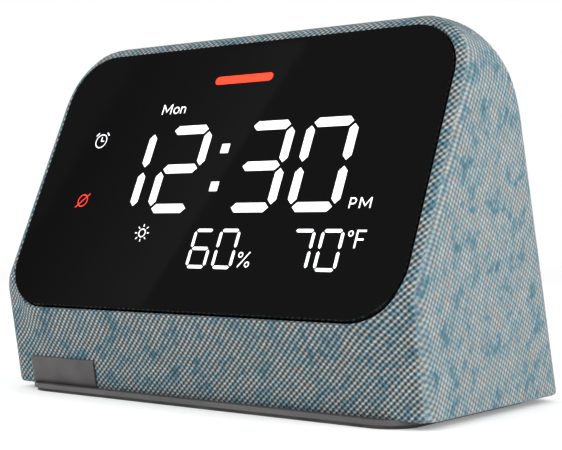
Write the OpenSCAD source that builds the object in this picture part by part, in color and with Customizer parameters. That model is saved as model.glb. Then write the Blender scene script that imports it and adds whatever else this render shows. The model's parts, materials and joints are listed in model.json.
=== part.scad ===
// Smart display alarm clock: a fabric-covered wedge with a flat glass display, buttons on the ridge,
// a speaker behind the back and a recessed port panel. Millimetres, +Z up, the display faces -Y.
// The origin is the centre of the footprint of the bounding box, on the table.

/* [Body] */
// Width over the side walls
body_w = 120; // [116:1:126]
// Depth from the glass's lower edge to the heel
body_d = 66.4; // [65:0.1:70]
// Height of the ridge above the table
body_h = 85.6; // [84:0.1:88]
// Lean of the front face from vertical, degrees
front_lean = 24; // [23:0.1:25]
// Lean of the lower back from vertical, degrees
back_lean = 16; // [15:0.1:17]
// Lean of the upper back from vertical, degrees
upper_back_lean = 28.2; // [27:0.1:29]
// Lean of the chin below the glass, degrees
chin_lean = 10; // [8:0.1:11]
// Height of the fabric's lower edge above the table
skirt_z = 2; // [1.8:0.1:2.2]
// Corner radius of the body seen from the front
outline_r = 16.6; // [15:0.1:18]

/* [Glass] */
// Width of the glass
glass_w = 112.4; // [111:0.1:113]
// Height of the glass along its slope
glass_l = 67.3; // [66.6:0.1:67.6]
// Corner radius of the glass
glass_r = 12; // [10:0.5:13]
// Height of the glass's lower edge above the table
glass_z = 21.7; // [21.2:0.1:22.2]
// How far the glass stands proud of the fabric
glass_proud = 0.3; // [0.2:0.05:0.5]

/* [Buttons] */
// Distance from one ridge button to the next
button_pitch = 15; // [14:0.5:17]
// Length of a ridge button
button_l = 9; // [7:0.5:10]
// Width of a ridge button
button_w = 4; // [3.4:0.1:4.2]

/* [Hidden] */
$fn = 64;

// Colours
fabric_grey = [0.50, 0.60, 0.64];
shell_grey = [0.30, 0.30, 0.31];
base_grey = [0.26, 0.25, 0.25];
black = [0.07, 0.07, 0.07];
glass_black = [0.03, 0.03, 0.03];
lit_white = [0.97, 0.98, 1.0];
lit_red = [1.0, 0.27, 0.16];
board_green = [0.08, 0.30, 0.18];
metal = [0.72, 0.72, 0.70];
brass = [0.80, 0.65, 0.32];
cap_grey = [0.35, 0.38, 0.40];

// Wall build-up, measured in from the outside of the fabric
fabric_t = 1.0;
fit_gap = 0.1;
wall_out = fabric_t + fit_gap;
wall_in = wall_out + 1.6;

// Radii of the side profile and of the edges
nose_r = 8.2;
nose_z = 25.9;
brow_r = 5;
shoulder_r = 34;
heel_r = 2;
foot_r = 1.5;
front_edge_r = 3.8;
back_edge_r = 5.2;
least_r = 0.4;

// ---- Side profile: planes as [angle of the outward normal, distance], y to the right and z up ----

function dir(a) = [cos(a), sin(a)];
// Point at height z that lies r inside a plane
function at_z(plane, r, z) = [(plane[1] - r - z*sin(plane[0]))/cos(plane[0]), z];
// Centre of the circle of radius r that touches planes p and q from inside
function corner(p, q, r) =
  let(a = p[1] - r, b = q[1] - r, s = sin(q[0] - p[0]))
  [(a*sin(q[0]) - b*sin(p[0]))/s, (b*cos(p[0]) - a*cos(q[0]))/s];

glass_low = [-body_d/2, glass_z];
front_plane = [180 - front_lean, dir(180 - front_lean)*glass_low - glass_proud];
nose_c = at_z(front_plane, nose_r, nose_z);
chin_plane = [180 + chin_lean, dir(180 + chin_lean)*nose_c + nose_r];
brow_c = at_z(front_plane, brow_r, body_h - brow_r);
upper_back_plane = [upper_back_lean, dir(upper_back_lean)*brow_c + brow_r];
heel_c = [body_d/2 - heel_r, skirt_z + heel_r];
back_plane = [back_lean, dir(back_lean)*heel_c + heel_r];
skirt_plane = [-90, -skirt_z];

// Each entry is a plane and the radius of the corner that follows it
profile_ring = [
  [skirt_plane, heel_r], [back_plane, shoulder_r], [upper_back_plane, brow_r],
  [front_plane, nose_r], [chin_plane, foot_r]
];
below_table = 30;
outline_ring = [
  [[-90, below_table], 1], [[0, body_w/2], outline_r], [[90, body_h + 0.02], outline_r], [[180, body_w/2], 1]
];
function edge_ring(r) = [
  [[-90, 0], r], [[0, body_w/2], 1], [[90, 2*body_h], 1], [[180, body_w/2], r]
];

// Convex shape inside a ring of planes moved in by o, with its corners rounded in short flats
arc_step = 7.5;
module rounded(ring, o) {
  n = len(ring);
  polygon([
    for (i = [0:n-1])
      let(
        p = ring[i][0], q = ring[(i+1)%n][0], r = max(ring[i][1] - o, least_r),
        c = corner([p[0], p[1] - o], [q[0], q[1] - o], r),
        turn = (q[0] - p[0] + 360)%360, steps = max(1, round(turn/arc_step))
      )
      for (k = [0:steps]) c + r*dir(p[0] + turn*k/steps)
  ]);
}

// Long prism that rounds the two vertical edges next to one of the profile's planes
module edge_prism(y0, tilt, r, o) {
  translate([0, y0, 0]) rotate([tilt, 0, 0]) translate([0, 0, -body_h])
    linear_extrude(3*body_h) rounded(edge_ring(r), o);
}

// The whole body as one solid, moved in by o
module envelope(o) {
  intersection() {
    rotate([90, 0, 90]) linear_extrude(2*body_w, center = true) rounded(profile_ring, o);
    rotate([90, 0, 0]) linear_extrude(4*body_d, center = true) rounded(outline_ring, o);
    edge_prism(-front_plane[1]/cos(front_lean), -front_lean, front_edge_r, o);
    edge_prism(-chin_plane[1]/cos(chin_lean), chin_lean, front_edge_r, o);
    mirror([0, 1, 0]) edge_prism(-back_plane[1]/cos(back_lean), -back_lean, back_edge_r, o);
  }
}

// ---- Local frames ----

// Front frame: x right, y up the slope from the glass's lower edge, z out of the fabric's front plane
module on_front() {
  base = at_z(front_plane, 0, glass_z - glass_proud*sin(front_lean));
  translate([0, base[0], base[1]]) rotate([90 - front_lean, 0, 0]) children();
}

// Ridge frame: origin on the axis of the ridge's round, z out through the buttons
button_tilt = 42;
module on_ridge(x = 0) translate([x, brow_c[0], brow_c[1]]) rotate([-button_tilt, 0, 0]) children();

// Speaker frame: origin on the back's surface, x to the left seen from behind, z out of the back
speaker_lean = 22;
speaker_z = 46;
module on_speaker() {
  base = at_z(back_plane, 0, speaker_z);
  translate([0, base[0], base[1]]) rotate([90 - speaker_lean, 0, 180]) children();
}

// ---- Simple shapes ----

module rounded_rect(w, h, r) {
  square([w - 2*r, h], center = true);
  square([w, h - 2*r], center = true);
  for (x = [-1, 1], y = [-1, 1]) translate([x*(w/2 - r), y*(h/2 - r)]) circle(r);
}

module pill(l, w) {
  square([l - w, w], center = true);
  for (x = [-1, 1]) translate([x*(l - w)/2, 0]) circle(w/2);
}

module slab(w, h, r, z0, z1) translate([0, 0, z0]) linear_extrude(z1 - z0) rounded_rect(w, h, r);

module ring_2d(r_out, r_in) {
  difference() {
    circle(r_out);
    circle(r_in);
  }
}

module disc(r, z0, z1) translate([0, 0, z0]) cylinder(r = r, h = z1 - z0);

module tube(r_out, r_in, z0, z1) translate([0, 0, z0]) linear_extrude(z1 - z0) ring_2d(r_out, r_in);

// Straight stroke with square ends between two points
module stroke(a, b, t) {
  d = b - a;
  translate((a + b)/2) rotate(atan2(d[1], d[0])) square([norm(d), t], center = true);
}

// Screw along -z: the head sits on z = 0 and the shank goes down
module screw(head_r, head_h, shank_r, length) {
  difference() {
    disc(head_r, 0, head_h);
    translate([0, 0, head_h - 0.6]) linear_extrude(1) for (a = [0, 90]) rotate(a) square([head_r, 0.5], center = true);
  }
  disc(shank_r, -length, 0.2);
}

// ---- Shell ----

glass_mid = glass_l/2;
pocket_deep = 3.8;
pocket_play = 0.25;

// Space that the display module fills, open to the front
module display_pocket() {
  on_front() translate([0, glass_mid, 0])
    slab(glass_w + 2*pocket_play, glass_l + 2*pocket_play, glass_r + pocket_play, -pocket_deep, 12);
}

// The base plate's outline and the opening it fills in the bottom
base_w = 110.3;
base_y0 = -28.5;
base_y1 = 30.5;
base_y = (base_y0 + base_y1)/2;
base_d = base_y1 - base_y0;
step_w = 102.6;
step_d = 48.6;
module bottom_opening() {
  translate([0, base_y, 0]) slab(step_w + 0.8, step_d + 0.8, 6.4, 0, 6);
}

// Port panel: a tray sunk into the lower back, with its floor upright
tray_w = 58;
tray_z0 = 6.5;
tray_z1 = 20.5;
tray_floor_y = 27.2;
tray_floor_t = 2;
tray_rim = 1.5;
module tray_block(grow, y0) {
  translate([-tray_w/2 - grow, y0, tray_z0 - grow])
    cube([tray_w + 2*grow, body_d, tray_z1 - tray_z0 + 2*grow]);
}

button_x = [for (i = [-1.5:1:1.5]) i*button_pitch];
mic_x = 38;
button_play = 0.2;
module button_holes() {
  for (x = button_x) on_ridge(x) translate([0, 0, 0.4]) linear_extrude(8)
    pill(button_l + 2*button_play, button_w + 2*button_play);
}

module fabric_sleeve() color(fabric_grey) {
  difference() {
    envelope(0);
    envelope(fabric_t);
    display_pocket();
    bottom_opening();
    button_holes();
    tray_block(0.1, tray_floor_y - tray_floor_t);
  }
}

// Bosses for the base screws, joined to the side walls by ribs
boss_x = 44;
boss_y = 17;
boss_r = 3.2;
boss_z0 = 5.1;
boss_z1 = 17;
module boss_positions() for (x = [-1, 1], y = [-1, 1]) translate([x*boss_x, base_y + y*boss_y, 0]) children();

module bosses() {
  intersection() {
    for (x = [-1, 1], y = [-1, 1]) translate([x*boss_x, base_y + y*boss_y, 0]) {
      disc(boss_r, boss_z0, boss_z1);
      translate([x*boss_x/4, 0, (boss_z0 + boss_z1)/2 + 1]) cube([boss_x/2, 1.6, boss_z1 - boss_z0 - 2], center = true);
    }
    envelope(wall_out);
  }
}

// Ledge inside the front that the display frame is screwed to
ledge_z0 = -5.8;
ledge_z1 = -pocket_deep;
ledge_window_w = 104;
ledge_window_y0 = 5;
frame_screw_x = 54;
frame_screw_y = [14, 52];
module frame_screw_positions() for (x = [-1, 1], y = frame_screw_y) translate([x*frame_screw_x, y, 0]) children();

module display_ledge() {
  intersection() {
    on_front() difference() {
      translate([-body_w/2, -8, ledge_z0]) cube([body_w, 68, ledge_z1 - ledge_z0]);
      translate([-ledge_window_w/2, ledge_window_y0, ledge_z0 - 1]) cube([ledge_window_w, 100, 4]);
      frame_screw_positions() disc(0.95, ledge_z0 - 1, ledge_z1 + 1);
    }
    envelope(wall_out);
  }
}

// Speaker seat: a moulded ring that gives the bent back a flat face
seat_z = -6.4;
seat_r_out = 20;
seat_r_in = 16.6;
speaker_screw_r = 18.3;
module speaker_screw_positions() for (a = [45:90:315]) rotate(a) translate([speaker_screw_r, 0, 0]) children();

module speaker_seat() {
  intersection() {
    on_speaker() difference() {
      tube(seat_r_out, seat_r_in, seat_z, 4);
      speaker_screw_positions() disc(0.8, seat_z - 1, seat_z + 3);
    }
    envelope(wall_out);
  }
}

grille_pitch = 4.6;
grille_hole_r = 1.1;
module grille_holes() {
  on_speaker() for (ring = [0:3]) for (k = [0:max(0, 6*ring - 1)])
    rotate(ring == 0 ? 0 : 60*k/ring) translate([ring*grille_pitch, 0, 0]) disc(grille_hole_r, -8, 4);
}

module housing() color(shell_grey) {
  difference() {
    union() {
      difference() {
        envelope(wall_out);
        envelope(wall_in);
      }
      bosses();
      display_ledge();
      speaker_seat();
    }
    display_pocket();
    bottom_opening();
    button_holes();
    for (x = [-mic_x, mic_x]) on_ridge(x) disc(0.6, 0, 8);
    tray_block(0.2, tray_floor_y - tray_floor_t - 0.3);
    boss_positions() disc(1.35, boss_z0 - 1, 14);
    grille_holes();
  }
}

// ---- Base ----

foot_t = 0.8;
plate_z1 = 1.9;
step_z1 = 4.9;
standoff_z1 = 7.9;
standoff_x = 36;
standoff_y = 15;
module standoff_positions() {
  for (x = [-1, 1], y = [-1, 1]) translate([x*standoff_x, base_y + y*standoff_y, 0]) children();
}

module base_plate() color(base_grey) {
  difference() {
    union() {
      translate([0, base_y, 0]) slab(base_w, base_d, 8, foot_t, plate_z1);
      translate([0, base_y, 0]) slab(step_w, step_d, 6, plate_z1 - 0.1, step_z1);
      standoff_positions() disc(2.4, step_z1 - 0.1, standoff_z1);
    }
    translate([0, base_y, 0]) slab(80, 22, 4, 2.9, 6);
    boss_positions() {
      disc(1.5, 0, 6);
      disc(3, 0, 2.9);
    }
    standoff_positions() disc(1, 4, 9);
  }
}

module rubber_foot() color(black) {
  translate([0, base_y, 0]) difference() {
    slab(base_w - 1.6, base_d - 1.6, 7.2, 0, foot_t);
    slab(74, 24, 5, -1, 2);
  }
}

module base_screws() color(metal) {
  boss_positions() translate([0, 0, 2.9]) mirror([0, 0, 1]) screw(2.6, 1.6, 1.3, 9);
}

// Blank label: a plate over the chin with a foot that turns under the body
tag_x0 = -52;
tag_x1 = -30.8;
tag_z1 = 8.4;
tag_t = 0.6;
module label_tag() color(base_grey) {
  intersection() {
    difference() {
      rotate([90, 0, 90]) linear_extrude(2*body_w, center = true) rounded(profile_ring, -tag_t);
      rotate([90, 0, 90]) linear_extrude(2*body_w, center = true) rounded(profile_ring, -0.05);
    }
    translate([tag_x0, -body_d/2, skirt_z - 2*tag_t]) cube([tag_x1 - tag_x0, 7.5, tag_z1 - skirt_z + 2*tag_t]);
    union() {
      translate([0, -body_d/2, skirt_z - 0.06]) translate([-body_w/2, 0, 0]) cube([body_w, 20, 20]);
      translate([-body_w/2, -body_d/2, 0]) cube([body_w, body_d/2 + base_y0 - 0.1, 5]);
    }
  }
}

// ---- Display ----

lens_z0 = -0.9;
inlay_t = 0.3;

module on_glass(x, y) on_front() translate([x, y, glass_proud - inlay_t]) linear_extrude(inlay_t) children();

// Seven-segment digits: half width and half height are to the centre lines, t is the stroke
big_half_w = 5.7;
big_half_h = 10.1;
big_t = 2.35;
small_half_w = 2.5;
small_half_h = 4.35;
small_t = 0.85;

// One pointed segment, lying along x
module segment(l, t) polygon([[-l/2, 0], [-l/2 + t/2, t/2], [l/2 - t/2, t/2], [l/2, 0], [l/2 - t/2, -t/2], [-l/2 + t/2, -t/2]]);

// Which of the segments a to g each digit lights
segments_of = [
  [1, 1, 1, 1, 1, 1, 0], [0, 1, 1, 0, 0, 0, 0], [1, 1, 0, 1, 1, 0, 1], [1, 1, 1, 1, 0, 0, 1],
  [0, 1, 1, 0, 0, 1, 1], [1, 0, 1, 1, 0, 1, 1], [1, 0, 1, 1, 1, 1, 1], [1, 1, 1, 0, 0, 0, 0]
];
// Place of each segment as [x, y, turn], in half widths and half heights
segment_places = [[0, 1, 0], [1, 0.5, 90], [1, -0.5, 90], [0, -1, 0], [-1, -0.5, 90], [-1, 0.5, 90], [0, 0, 0]];

module digit(n, half_w, half_h, t) {
  for (i = [0:6]) if (segments_of[n][i] == 1) {
    place = segment_places[i];
    length = place[2] == 0 ? 2*half_w - 0.38*t : half_h - 0.55*t;
    translate([place[0]*half_w, place[1]*half_h]) rotate(place[2]) segment(length, t);
  }
}

module big_digit(n) digit(n, big_half_w, big_half_h, big_t);
module small_digit(n) digit(n, small_half_w, small_half_h, small_t);

time_y = 34.75;
module hour_tens_2d() translate([-28.3, time_y]) big_digit(1);
module hour_units_2d() translate([-11.1, time_y]) big_digit(2);
module minute_tens_2d() translate([12.8, time_y]) big_digit(3);
module minute_units_2d() translate([29.65, time_y]) big_digit(0);
module colon_2d() for (y = [-4.77, 4.77]) translate([0.9, time_y + y]) square(2.4, center = true);

low_row_y = 14.85;
module humidity_2d() {
  translate([2.1, low_row_y]) small_digit(6);
  translate([9.5, low_row_y]) small_digit(0);
}
module temperature_2d() {
  translate([29.6, low_row_y]) small_digit(7);
  translate([36.9, low_row_y]) small_digit(0);
}

mark_t = 0.38;
module percent_2d() translate([15.3, 12.4]) {
  stroke([-1.3, -1.8], [1.3, 1.8], mark_t);
  for (s = [-1, 1]) translate([-s*1.15, s*1.1]) ring_2d(0.72, 0.36);
}

module degree_2d() {
  translate([41.35, 18.6]) ring_2d(0.72, 0.36);
  translate([42.7, 15.35]) {
    stroke([0.25, 0], [0.25, 4.1], 0.5);
    stroke([0.5, 3.85], [2.4, 3.85], 0.5);
    stroke([0.5, 1.95], [2.1, 1.95], 0.5);
  }
}

// Half ring on the right of the origin, flat ends up and down
module half_ring(r, t) {
  difference() {
    circle(r);
    circle(r - t);
    translate([-2*r, -2*r]) square([2*r, 4*r]);
  }
}

module pm_2d() translate([39.0, 24.25]) {
  stroke([0.2, 0], [0.2, 2.5], mark_t);
  stroke([0.39, 2.31], [1.0, 2.31], mark_t);
  stroke([0.39, 1.05], [1.0, 1.05], mark_t);
  translate([1.0, 1.68]) half_ring(0.82, mark_t);
  stroke([2.75, 0], [2.75, 2.5], mark_t);
  stroke([5.35, 0], [5.35, 2.5], mark_t);
  polygon([[2.94, 2.5], [2.94, 1.95], [4.05, 0.3], [5.16, 1.95], [5.16, 2.5], [4.05, 0.9]]);
}

module day_2d() translate([-22.5, 49.45]) {
  stroke([0.2, 0], [0.2, 2.75], mark_t);
  stroke([2.85, 0], [2.85, 2.75], mark_t);
  polygon([[0.39, 2.75], [0.39, 2.15], [1.52, 0.4], [2.66, 2.15], [2.66, 2.75], [1.52, 1.0]]);
  translate([4.55, 0.98]) ring_2d(1.0, 1.0 - mark_t);
  stroke([6.05, 0], [6.05, 1.95], mark_t);
  stroke([7.35, 0], [7.35, 1.1], mark_t);
  translate([6.7, 1.1]) rotate(90) half_ring(0.84, mark_t);
}

module alarm_2d() translate([-40.3, 43.15]) {
  ring_2d(1.95, 1.62);
  stroke([0, 1.15], [0, -0.16], 0.32);
  stroke([0.16, 0], [0.95, 0], 0.32);
  for (s = [-1, 1]) stroke([s*1.35, 2.3], [s*2.25, 1.45], 0.4);
}

module mute_2d() translate([-40, 27]) {
  ring_2d(1.7, 1.34);
  stroke([-1.95, -1.85], [1.95, 1.85], 0.36);
}

module weather_2d() translate([-16.9, 18.5]) {
  ring_2d(1.15, 0.8);
  for (a = [0:45:315]) rotate(a) stroke([1.5, 0], [2.2, 0], 0.32);
}

module bar_2d() translate([0.4, 57.6]) pill(17.2, 2.2);

module lit_2d() {
  bar_2d();
  hour_tens_2d();
  hour_units_2d();
  colon_2d();
  minute_tens_2d();
  minute_units_2d();
  pm_2d();
  day_2d();
  alarm_2d();
  mute_2d();
  weather_2d();
  humidity_2d();
  percent_2d();
  temperature_2d();
  degree_2d();
}

module display_lens() color(glass_black) {
  difference() {
    on_front() translate([0, glass_mid, 0]) slab(glass_w, glass_l, glass_r, lens_z0, glass_proud);
    on_front() translate([0, 0, glass_proud - inlay_t]) linear_extrude(inlay_t + 1) lit_2d();
  }
}

module light_bar() color(lit_red) on_glass(0, 0) bar_2d();
module hour_tens() color(lit_white) on_glass(0, 0) hour_tens_2d();
module hour_units() color(lit_white) on_glass(0, 0) hour_units_2d();
module time_colon() color(lit_white) on_glass(0, 0) colon_2d();
module minute_tens() color(lit_white) on_glass(0, 0) minute_tens_2d();
module minute_units() color(lit_white) on_glass(0, 0) minute_units_2d();
module pm_mark() color(lit_white) on_glass(0, 0) pm_2d();
module day_mark() color(lit_white) on_glass(0, 0) day_2d();
module alarm_icon() color(lit_white) on_glass(0, 0) alarm_2d();
module mute_icon() color(lit_red) on_glass(0, 0) mute_2d();
module weather_icon() color(lit_white) on_glass(0, 0) weather_2d();
module humidity_digits() color(lit_white) on_glass(0, 0) humidity_2d();
module percent_sign() color(lit_white) on_glass(0, 0) percent_2d();
module temperature_digits() color(lit_white) on_glass(0, 0) temperature_2d();
module degree_unit() color(lit_white) on_glass(0, 0) degree_2d();

// Ring that carries the glass; its top strip is thin, to leave room for the button board
frame_z0 = -3.7;
frame_z1 = -0.95;
frame_thin_z = -2.1;
well_w = 104.4;
well_y0 = 4.6;
well_y1 = 61.4;
module display_frame() color(black) {
  on_front() difference() {
    translate([0, glass_mid, 0]) slab(glass_w - 0.8, glass_l - 0.8, glass_r - 0.4, frame_z0, frame_z1);
    translate([0, (well_y0 + well_y1)/2, 0]) slab(well_w, well_y1 - well_y0, 2, frame_z0 - 1, frame_z1 + 1);
    translate([-body_w/2, well_y1 - 2, frame_z0 - 1]) cube([body_w, 20, frame_thin_z - frame_z0 + 1]);
    frame_screw_positions() disc(0.8, frame_z0 - 1, -1.6);
  }
}

module diffuser_sheet() color([0.85, 0.85, 0.85]) {
  on_front() translate([0, (well_y0 + well_y1)/2, 0]) slab(well_w - 0.4, well_y1 - well_y0 - 0.4, 1.8, -1.2, -1.0);
}

reflector_z0 = -3.6;
reflector_z1 = -1.25;
module segment_reflector() color([0.9, 0.9, 0.9]) {
  on_front() difference() {
    translate([0, (well_y0 + well_y1)/2, 0])
      slab(well_w - 0.6, well_y1 - well_y0 - 0.6, 1.7, reflector_z0, reflector_z1);
    translate([0, 0, reflector_z0 - 1]) linear_extrude(5) {
      bar_2d();
      hour_tens_2d();
      hour_units_2d();
      colon_2d();
      minute_tens_2d();
      minute_units_2d();
      for (p = icon_places) translate(p) circle(2.4);
      for (p = low_places) translate(p) rounded_rect(6.2, 10, 0.8);
    }
  }
}
icon_places = [[-40.3, 43.15], [-40, 27], [-16.9, 18.5], [15.6, 12.6], [43, 17.4], [-20.4, 50.8], [-16.6, 50.8], [41, 25.5]];
low_places = [[2.1, low_row_y], [9.5, low_row_y], [29.6, low_row_y], [36.9, low_row_y]];

display_board_z0 = -5.25;
display_board_z1 = -3.75;
module display_board() color(board_green) {
  on_front() {
    difference() {
      translate([0, 32, 0]) slab(102.8, 53, 1.5, display_board_z0, display_board_z1);
      for (x = [-48, 48], y = [9, 55]) translate([x, y, 0]) disc(1.2, -7, 0);
    }
    // Connector and driver chip on the back
    translate([0, 9.2, -6.3]) cube([14, 4, 2.2], center = true);
    translate([0, 30, -5.6]) cube([10, 10, 0.9], center = true);
  }
}

// One small lamp in each well of the reflector
led_h = 0.7;
led_size = [1.2, 0.8];
module led() translate([-led_size[0]/2, -led_size[1]/2, display_board_z1 + 0.02]) cube([led_size[0], led_size[1], led_h]);
module digit_leds(x, n) {
  for (i = [0:6]) if (segments_of[n][i] == 1)
    translate([x + segment_places[i][0]*big_half_w, time_y + segment_places[i][1]*big_half_h, 0])
      rotate(segment_places[i][2]) led();
}

module segment_leds() color([0.95, 0.93, 0.75]) {
  on_front() {
    digit_leds(-28.3, 1);
    digit_leds(-11.1, 2);
    digit_leds(12.8, 3);
    digit_leds(29.65, 0);
    for (y = [-4.77, 4.77]) translate([0.9, time_y + y, 0]) led();
    for (x = [-4.6, 0.4, 5.4]) translate([x, 57.6, 0]) led();
    for (p = concat(icon_places, low_places)) translate(p) led();
  }
}

module frame_screws() color(metal) {
  on_front() frame_screw_positions() translate([0, 0, ledge_z0 - 0.05]) mirror([0, 0, 1]) screw(1.5, 0.9, 0.75, 3.9);
}

// ---- Ridge buttons ----

cap_low = 0.95;
button_proud = 0.25;
module button(i) color(cap_grey) {
  intersection() {
    on_ridge(button_x[i]) translate([0, 0, cap_low]) linear_extrude(6) pill(button_l, button_w);
    envelope(-button_proud);
  }
  on_ridge(button_x[i]) translate([0, 0, (cap_low + 1.55)/2]) cube([button_l + 2.4, 1.8, 1.55 - cap_low], center = true);
}
module volume_down_button() button(0);
module play_button() button(1);
module alarm_button() button(2);
module volume_up_button() button(3);

switch_z0 = -0.5;
module button_board() color(board_green) {
  on_ridge() {
    translate([0, 0.2, -0.8]) cube([2*mic_x + 8, 4.2, 0.6], center = true);
    translate([30, 0.9, -1.6]) cube([7, 2.6, 1.1], center = true);
  }
}

module tact_switches() color(metal) {
  for (x = button_x) on_ridge(x) {
    translate([0, 0, switch_z0 + 0.41]) cube([3.6, 3, 0.8], center = true);
    disc(0.8, switch_z0 + 0.7, 0.5);
  }
}

module microphones() color(brass) {
  for (x = [-mic_x, mic_x]) on_ridge(x) difference() {
    translate([0, 0, switch_z0 + 0.51]) cube([3.4, 2.6, 1], center = true);
    disc(0.35, 0.1, 2);
  }
}

// ---- Ports ----

seat_gap = 0.02;
board_z0 = standoff_z1 + seat_gap;
board_z1 = board_z0 + 1.6;
jack_x = 18;
jack_z = board_z1 + 5;
jack_bore_r = 2.85;
usb_z = board_z1 + 3;
mouth_y = tray_floor_y - 0.1;
knob_x = -19;
knob_z = 12.5;
knob_travel = 2;

module port_panel() color(shell_grey) {
  difference() {
    intersection() {
      tray_block(0, tray_floor_y - tray_floor_t);
      envelope(0.15);
    }
    translate([-tray_w/2 + tray_rim, tray_floor_y, tray_z0 + tray_rim])
      cube([tray_w - 2*tray_rim, body_d, tray_z1 - tray_z0 - 2*tray_rim]);
    translate([jack_x, 0, jack_z]) rotate([-90, 0, 0]) disc(4.2, 10, 40);
    translate([0, 20, usb_z]) cube([13.6, 40, 6.2], center = true);
    translate([knob_x, 20, knob_z]) cube([5.4 + knob_travel, 40, 3.4], center = true);
  }
}

module dc_jack() color(black) {
  difference() {
    union() {
      translate([jack_x - 4.5, tray_floor_y - 14.4, board_z1 + seat_gap]) cube([9, 12, 9.6]);
      translate([jack_x, 0, jack_z]) rotate([-90, 0, 0]) disc(4, tray_floor_y - 3, mouth_y);
    }
    translate([jack_x, 0, jack_z]) rotate([-90, 0, 0]) disc(jack_bore_r, mouth_y - 9.5, 40);
  }
}

module dc_jack_pin() color(metal) {
  translate([jack_x, 0, jack_z]) rotate([-90, 0, 0]) {
    disc(1, mouth_y - 9.45, mouth_y - 1.2);
    translate([0, 0, mouth_y - 1.2]) sphere(1);
  }
}

usb_w = 13.1;
usb_h = 5.7;
usb_wall = 0.3;
usb_deep = 13;
module usb_socket() color(metal) {
  translate([0, mouth_y - usb_deep, usb_z]) difference() {
    translate([-usb_w/2, 0, -usb_h/2]) cube([usb_w, usb_deep, usb_h]);
    translate([-usb_w/2 + usb_wall, 1, -usb_h/2 + usb_wall]) cube([usb_w - 2*usb_wall, usb_deep, usb_h - 2*usb_wall]);
  }
}

module usb_tongue() color([0.92, 0.92, 0.92]) {
  translate([-5.6, mouth_y - usb_deep + 1.02, usb_z + 0.1]) cube([11.2, usb_deep - 2.2, 1.8]);
}

module mute_knob() color([0.85, 0.28, 0.15]) {
  translate([knob_x - knob_travel/2, 0, knob_z]) {
    difference() {
      translate([-2.5, tray_floor_y - 2.6, -1.5]) cube([5, 3.6, 3]);
      for (x = [-1.2, 0, 1.2]) translate([x - 0.2, tray_floor_y + 0.6, -2]) cube([0.4, 1, 4]);
    }
    translate([-4.6, tray_floor_y - 3.1, -2]) cube([9.2, 0.8, 4]);
  }
}

module mute_switch() color(metal) {
  translate([knob_x - 4.5, tray_floor_y - 7.8, board_z1 + seat_gap]) cube([9, 4.4, 4.6]);
}

// ---- Speaker, along its own axis ----

module speaker_gasket() color(black) on_speaker() difference() {
  tube(19.4, 16.8, seat_z - 0.6, seat_z - 0.05);
  speaker_screw_positions() disc(1, seat_z - 1, seat_z + 1);
}

flange_z1 = seat_z - 0.65;
flange_z0 = flange_z1 - 1;
basket_low = flange_z1 - 9;
basket_r = 16.9;
module speaker_basket() color(shell_grey) on_speaker() difference() {
  union() {
    tube(19.4, 16.2, flange_z0, flange_z1);
    tube(basket_r, 16.2, basket_low, flange_z0 + 0.1);
    tube(basket_r, 6.8, basket_low - 1, basket_low + 0.1);
  }
  for (a = [0, 90]) rotate(a) translate([-30, -5, basket_low + 0.6]) cube([60, 10, 5]);
  speaker_screw_positions() disc(0.95, flange_z0 - 1, flange_z1 + 1);
}

cone_rim_z = flange_z1 - 0.9;
module speaker_surround() color(black) on_speaker() rotate_extrude() difference() {
  translate([15.05, cone_rim_z - 0.3]) circle(1.1);
  translate([15.05, cone_rim_z - 0.3]) circle(0.7);
  translate([12, cone_rim_z - 3.3]) square([6, 3]);
}

module speaker_cone() color([0.16, 0.16, 0.17]) on_speaker() rotate_extrude()
  polygon([[6.4, cone_rim_z - 4.6], [13.5, cone_rim_z - 0.8], [13.5, cone_rim_z - 0.3], [6.4, cone_rim_z - 4.1]]);

module voice_coil() color(brass) on_speaker() tube(6.4, 6.0, cone_rim_z - 11.4, cone_rim_z - 4.1);

module dust_cap() color([0.1, 0.1, 0.1]) on_speaker() intersection() {
  difference() {
    translate([0, 0, cone_rim_z - 8.6]) sphere(7.4);
    translate([0, 0, cone_rim_z - 8.6]) sphere(7);
  }
  disc(6, cone_rim_z - 4.6, cone_rim_z);
}

magnet_z1 = basket_low - 1.05;
module speaker_magnet() color([0.12, 0.12, 0.13]) on_speaker() tube(12.5, 7.2, magnet_z1 - 4.5, magnet_z1);

module speaker_yoke() color(metal) on_speaker() {
  disc(12, magnet_z1 - 6, magnet_z1 - 4.55);
  disc(5.5, magnet_z1 - 5, basket_low + 0.4);
}

chamber_low = magnet_z1 - 7.2;
chamber_top = seat_z + 1.15;
chamber_r = 20.1;
chamber_wall = 1.2;
notch_z = seat_z - 5.6;
module speaker_chamber() color(shell_grey) on_speaker() difference() {
  disc(chamber_r + chamber_wall, chamber_low, chamber_top);
  disc(chamber_r, chamber_low + chamber_wall, chamber_top + 1);
  translate([0, -chamber_r - 1, notch_z]) cube([5, 6, 3], center = true);
}

module speaker_screws() color(metal) on_speaker() speaker_screw_positions()
  translate([0, 0, flange_z0 - 0.05]) mirror([0, 0, 1]) screw(1.35, 0.9, 0.75, 3.6);

// ---- Boards and wiring ----

board_w = 80;
board_y0 = -21;
board_y1 = 22.6;
module main_board() color(board_green) {
  difference() {
    translate([-board_w/2, board_y0, board_z0]) cube([board_w, board_y1 - board_y0, board_z1 - board_z0]);
    standoff_positions() disc(1.1, board_z0 - 1, board_z1 + 1);
  }
}

module shield_can() color(metal) {
  translate([-26, -14, board_z1 + seat_gap]) difference() {
    cube([26, 20, 2.4]);
    translate([0.2, 0.2, -0.1]) cube([25.6, 19.6, 2.3]);
  }
}

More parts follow.
